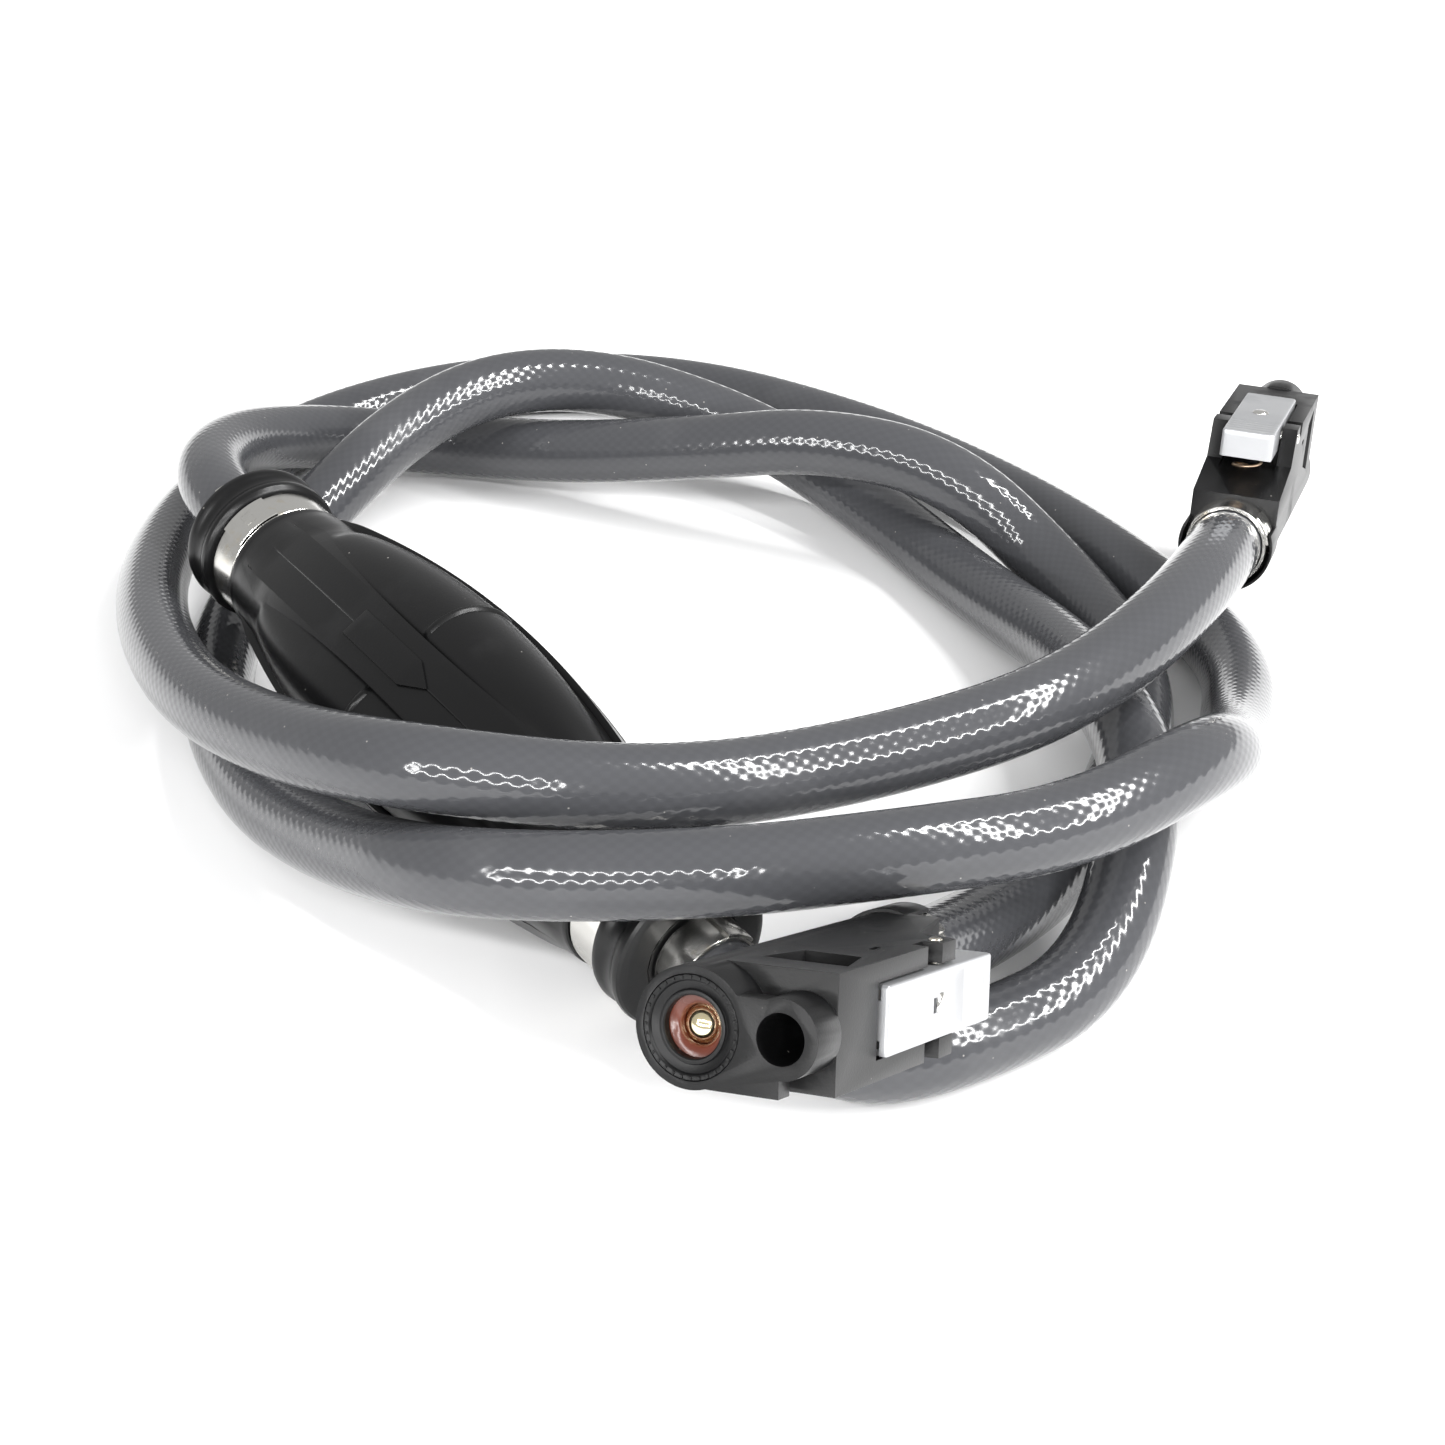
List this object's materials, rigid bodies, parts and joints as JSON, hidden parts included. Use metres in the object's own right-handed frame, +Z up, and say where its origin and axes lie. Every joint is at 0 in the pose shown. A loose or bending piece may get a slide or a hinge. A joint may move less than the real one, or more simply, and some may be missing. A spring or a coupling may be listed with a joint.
{
  "type": "siphon bulb pump",
  "caption": "Grey fuel hose with an inline black squeeze bulb, a check valve in each end of the bulb, and a quick connector with a spring latch lever on each hose end.",
  "frame": {"origin": "under the middle of the squeeze bulb, on the surface the pump lies on", "axes": "+X along the bulb with the flow, from the tank end to the engine end, +Z up"},
  "size_m": [0.3409, 0.2726, 0.0626],
  "materials": {
    "bulb_rubber": "satin",
    "hose_grey": "gloss",
    "black_plastic": "satin",
    "white_plastic": "satin",
    "clamp_steel": "brushed",
    "lever_steel": "satin",
    "seal_rubber": "satin",
    "ball_metal": "polished",
    "spring_wire": "satin"
  },
  "bodies": {
    "assembly": {"bulb_body": "bulb_rubber", "inlet_valve_body": "black_plastic", "outlet_valve_body": "black_plastic", "inlet_valve_spring": "spring_wire", "outlet_valve_spring": "spring_wire", "inlet_neck_clamp": "clamp_steel", "outlet_neck_clamp": "clamp_steel", "inlet_hose_clamp": "clamp_steel", "outlet_hose_clamp": "clamp_steel", "tank_hose": "hose_grey", "engine_hose": "hose_grey", "tank_connector_housing": "black_plastic", "tank_connector_seal_retainer": "black_plastic", "tank_connector_port_seal": "seal_rubber", "tank_connector_ball_spring": "spring_wire", "tank_connector_hose_stem": "ball_metal", "tank_connector_hose_band": "clamp_steel", "tank_connector_lever_pin": "clamp_steel", "tank_connector_lever_spring": "spring_wire", "engine_connector_housing": "black_plastic", "engine_connector_seal_retainer": "black_plastic", "engine_connector_port_seal": "seal_rubber", "engine_connector_ball_spring": "spring_wire", "engine_connector_hose_stem": "ball_metal", "engine_connector_hose_band": "clamp_steel", "engine_connector_lever_pin": "clamp_steel", "engine_connector_lever_spring": "spring_wire"},
    "inlet_valve": {"inlet_poppet": "white_plastic"},
    "outlet_valve": {"outlet_poppet": "white_plastic"},
    "tank_latch": {"tank_connector_latch_lever": "lever_steel", "tank_connector_lever_rivet": "lever_steel"},
    "tank_check_ball": {"tank_connector_check_ball": "ball_metal"},
    "engine_latch": {"engine_connector_latch_lever": "lever_steel", "engine_connector_lever_rivet": "lever_steel"},
    "engine_check_ball": {"engine_connector_check_ball": "ball_metal"}
  },
  "joints": [
    {"name": "tank_latch_press", "type": "hinge", "parent": "assembly", "child": "tank_latch", "pos_m": [0.13897, 0.00624, 0.03953], "axis": [-0.3303, 0.2728, 0.9036], "range_deg": [0, 10], "stiffness_Nm_per_rad": 0.4, "springref_deg": -8.59, "deforming": ["tank_connector_lever_spring"]},
    {"name": "tank_ball_open", "type": "slide", "parent": "assembly", "child": "tank_check_ball", "axis": [-0.3744, 0.8409, -0.3907], "range_m": [0, 0.003], "stiffness_N_per_m": 150, "springref_m": -0.002, "deforming": ["tank_connector_ball_spring"]},
    {"name": "engine_latch_press", "type": "hinge", "parent": "assembly", "child": "engine_latch", "pos_m": [0.0255, 0.18525, 0.04737], "axis": [0.8005, 0.5991, -0.0171], "range_deg": [0, 10], "stiffness_Nm_per_rad": 0.4, "springref_deg": -8.59, "deforming": ["engine_connector_lever_spring"]},
    {"name": "engine_ball_open", "type": "slide", "parent": "assembly", "child": "engine_check_ball", "axis": [0.5908, -0.784, 0.1908], "range_m": [0, 0.003], "stiffness_N_per_m": 150, "springref_m": -0.002, "deforming": ["engine_connector_ball_spring"]},
    {"name": "inlet_poppet_open", "type": "slide", "parent": "assembly", "child": "inlet_valve", "axis": [0.9962, 0, -0.0872], "range_m": [0, 0.002], "stiffness_N_per_m": 40, "springref_m": -0.001, "deforming": ["inlet_valve_spring"]},
    {"name": "outlet_poppet_open", "type": "slide", "parent": "assembly", "child": "outlet_valve", "axis": [0.9962, 0, -0.0872], "range_m": [0, 0.002], "stiffness_N_per_m": 40, "springref_m": -0.001, "deforming": ["outlet_valve_spring"]}
  ]
}
